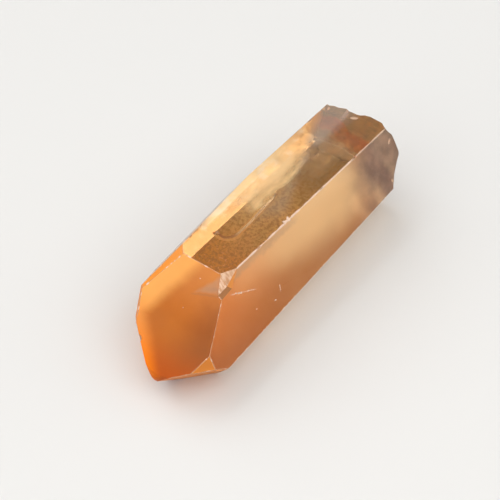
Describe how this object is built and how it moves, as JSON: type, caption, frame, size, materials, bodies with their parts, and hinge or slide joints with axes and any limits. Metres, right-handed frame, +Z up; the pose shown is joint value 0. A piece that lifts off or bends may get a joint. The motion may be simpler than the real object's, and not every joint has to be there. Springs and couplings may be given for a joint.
{
  "type": "tangerine quartz crystal",
  "caption": "Natural orange quartz point with a bevelled tip, a chipped corner and a broken base end, lying on one flat prism face.",
  "frame": {"origin": "middle of the bounding box, at the surface that the crystal rests on", "axes": "X along the crystal's long axis, with the natural tip towards -X and the broken end towards +X; +Z up from the resting face"},
  "size_m": [0.0354, 0.0136, 0.011],
  "materials": {
    "tangerine_quartz": "clear to lightly frosted orange quartz, with an iron stain on the resting face"
  },
  "bodies": {
    "root": {"quartz_crystal": "tangerine_quartz"}
  },
  "joints": []
}
